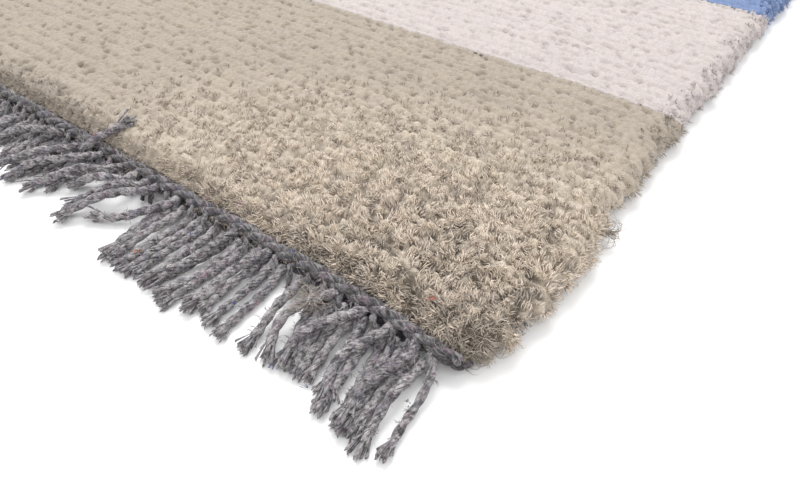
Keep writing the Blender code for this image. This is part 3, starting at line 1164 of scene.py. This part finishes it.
speckWool, speckGraph, speckShader = newMaterial("speck_wool", woolShader)
hue = speckGraph.node("ShaderNodeAttribute", attribute_name="hue")
speckGraph.put(speckShader.inputs["Base Color"], hue)
count = len(specks)
speckMesh = newMesh("specks", [(x / 1000, y / 1000, z / 1000) for x, y, z, hue in specks], [], {
    "direction": [(0.0, 0.0, 1.0)] * count, "reach": [0.34] * count, "girth": [0.85] * count,
    "hue": [hue for *place, hue in specks],
})
strewn = {"Girth Spread": 0.3, "Length Spread": 0.3}
addPiece("stray_specks", speckMesh, planting, {
    **strewn, "Shapes": locks, "Seed": 90, "Wool": speckWool,
}, "grey_fringe")

# fluff caught in the heading, and standing out of the right side
fluff = (
    {"place": (0.2075, -0.4770, 0.0125), "spread": 0.0030, "squash": (1, 1, 0.4), "count": 70,
     "lean": (1, 1, 0.5), "aim": (0, 0, 0)},
    {"place": (0.2985, -0.3415, 0.0080), "spread": 0.0013, "squash": (1, 1, 1), "count": 30,
     "lean": (0.22, 0.22, 0.22), "aim": (1, -0.15, 0.1)},
)
# fibres that spread from under the worn corner
skirt = {
    "place": (0.270, -0.441, 0.0070),
    "radius": 0.0188,
    "count": 300,
    "turn": (-112, 100),  # start and sweep in degrees
}
rng = seeded(92)
seats, aims = [], []
for bit in fluff:
    drift = rng.normal(0, 1, (bit["count"], 3))
    seats += [Vector(bit["place"]) + Vector(d) * bit["spread"] for d in drift * bit["squash"]]
    aims += list(drift * bit["lean"] + bit["aim"])
for share in np.linspace(0, 1, skirt["count"]):
    a, b, c = rng.normal(0, 1, 3)
    turn = radians(skirt["turn"][0] + skirt["turn"][1] * share)
    out = Vector((cos(turn), sin(turn), 0))
    seats.append(Vector(skirt["place"]) + out * (skirt["radius"] + 0.001 * a) + Vector((0, 0, 0.0022 * b)))
    aims.append(out + Vector((0.35 * a, 0.35 * c, -0.6 + 0.4 * b)))
counts = (fluff[0]["count"], fluff[1]["count"], skirt["count"])
fluffMesh = newMesh("fluff", seats, [], {
    "direction": aims, "reach": np.repeat((0.8, 1.15, 0.8), counts),
    "girth": np.repeat((1.2, 1.5, 1.1), counts),
})
addPiece("stray_fluff", fluffMesh, planting, {
    **strewn, "Shapes": fibres, "Seed": 93, "Wool": bpy.data.materials["taupe_front_wool"],
}, "taupe_pile")
print("stage: specks and fluff")

floorPaper = newMaterial("floor_paper", {
    "Base Color": (0.90, 0.90, 0.90, 1.0), "Roughness": 0.9, "Specular IOR Level": 0.1,
})[0]
half = 4.0
corners = [(-half, -half, 0), (half, -half, 0), (half, half, 0), (-half, half, 0)]
floor = newPiece("floor", newMesh("floor", corners, [(0, 1, 2, 3)]))
floor.location.z = -0.0002
floor.data.materials.append(floorPaper)
floor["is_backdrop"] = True

lighting = {
    "sky": 1.02,
    "key": ((-0.7, 0.9, 1.9), 1.6, 50.0),  # place, width, power
    "fill": ((1.2, -1.2, 1.8), 1.8, 11.0),
}
world = bpy.data.worlds.new("studio")
scene.world = world
world.use_nodes = True
sky = world.node_tree.nodes["Background"].inputs
sky["Color"].default_value = (1.0, 1.0, 1.0, 1.0)
sky["Strength"].default_value = lighting["sky"]
for name in ("key", "fill"):
    place, width, power = lighting[name]
    lamp = bpy.data.lights.new(name, "AREA")
    lamp.shape = "DISK"
    lamp.size = width
    lamp.energy = power
    stand = newObject(name, lamp)
    stand.location = place
    stand.rotation_euler = (-Vector(place)).to_track_quat("-Z", "Y").to_euler()

shot = {
    "place": (0.3639, -0.6147, 0.2263),
    "azimuth": 36.9,
    "down": 41.9,
    "roll": 0.43,
    "lens": 28.1,
    "sensor": 36.0,
}
lens = bpy.data.cameras.new("camera")
lens.lens = shot["lens"]
lens.sensor_width = shot["sensor"]
lens.clip_start = 0.01
camera = newObject("camera", lens)
camera.location = shot["place"]
azimuth, tilt, roll = [
    Matrix.Rotation(radians(degrees), 3, axis)
    for degrees, axis in ((shot["azimuth"], "Z"), (90 - shot["down"], "X"), (shot["roll"], "Z"))
]
camera.rotation_euler = (azimuth @ tilt @ roll).to_euler()
scene.camera = camera
scene.view_settings.view_transform = "Standard"

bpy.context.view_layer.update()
meshes = [piece.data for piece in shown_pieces() if piece.type == "MESH"]
print("stage: triangles", sum(len(p.vertices) - 2 for mesh in meshes for p in mesh.polygons))
